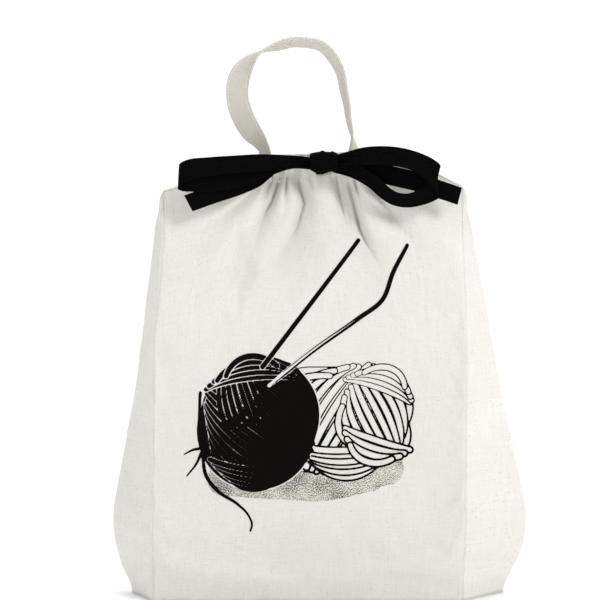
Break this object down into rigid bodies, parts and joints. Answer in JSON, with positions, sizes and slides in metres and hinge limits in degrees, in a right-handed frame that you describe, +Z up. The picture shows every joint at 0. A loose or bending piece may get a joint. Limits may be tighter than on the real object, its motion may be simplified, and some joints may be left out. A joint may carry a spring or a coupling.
{
  "type": "drawstring knitting bag",
  "caption": "Flat-based cotton drawstring bag for yarn and needles, with folded side gussets, a gathered mouth tied by a ribbon bow, and one strap handle.",
  "frame": {"origin": "under the middle of the bag, on the surface that it stands on", "axes": "+Z up; the printed front faces -Y; +X to the right as the front is looked at"},
  "size_m": [0.382, 0.11, 0.5135],
  "materials": {
    "cotton_cloth": "matt plain-weave cotton, unbleached, with a screen-printed picture on the front",
    "cotton_hem": "matt plain-weave cotton, folded hem",
    "seam_allowance": "overlocked raw edges of the same cotton",
    "cotton_strap": "matt cotton, folded and topstitched",
    "thread": "twisted cotton-polyester sewing thread",
    "black_ribbon": "black woven ribbon with a soft low sheen"
  },
  "bodies": {
    "bag": {"front_panel": "cotton_cloth", "back_panel": "cotton_cloth", "left_gusset": "cotton_cloth", "right_gusset": "cotton_cloth", "base_panel": "cotton_cloth", "front_left_seam": "seam_allowance", "front_right_seam": "seam_allowance", "back_left_seam": "seam_allowance", "back_right_seam": "seam_allowance", "base_seam": "seam_allowance", "front_casing": "cotton_hem", "back_casing": "cotton_hem", "front_hem_stitching": "thread", "back_hem_stitching": "thread", "ribbon_run": "black_ribbon", "bow_knot": "black_ribbon", "left_strap_end": "cotton_strap", "right_strap_end": "cotton_strap", "left_strap_stitching": "thread", "right_strap_stitching": "thread"},
    "handle": {"handle_strap": "cotton_strap"},
    "loop_left": {"left_bow_loop": "black_ribbon"},
    "loop_right": {"right_bow_loop": "black_ribbon"},
    "tail_left": {"left_tail": "black_ribbon"},
    "tail_right": {"right_tail": "black_ribbon"}
  },
  "joints": [
    {"name": "handle_swing", "type": "hinge", "parent": "bag", "child": "handle", "pos_m": [-0.01, 0.0149, 0.4092], "axis": [1, 0, 0], "range_deg": [-150, 60]},
    {"name": "left_loop_lift", "type": "hinge", "parent": "bag", "child": "loop_left", "pos_m": [-0.0145, -0.0305, 0.399], "axis": [0, 0, 1], "range_deg": [0, 60]},
    {"name": "right_loop_lift", "type": "hinge", "parent": "bag", "child": "loop_right", "pos_m": [0.02, -0.0305, 0.399], "axis": [0, 0, -1], "range_deg": [0, 60]},
    {"name": "left_tail_drop", "type": "hinge", "parent": "bag", "child": "tail_left", "pos_m": [-0.0145, -0.022, 0.392], "axis": [0, -0.9848, 0.1736], "range_deg": [-10, 55]},
    {"name": "right_tail_drop", "type": "hinge", "parent": "bag", "child": "tail_right", "pos_m": [0.02, -0.0218, 0.3935], "axis": [0, 0.9848, -0.1736], "range_deg": [-10, 55]}
  ]
}
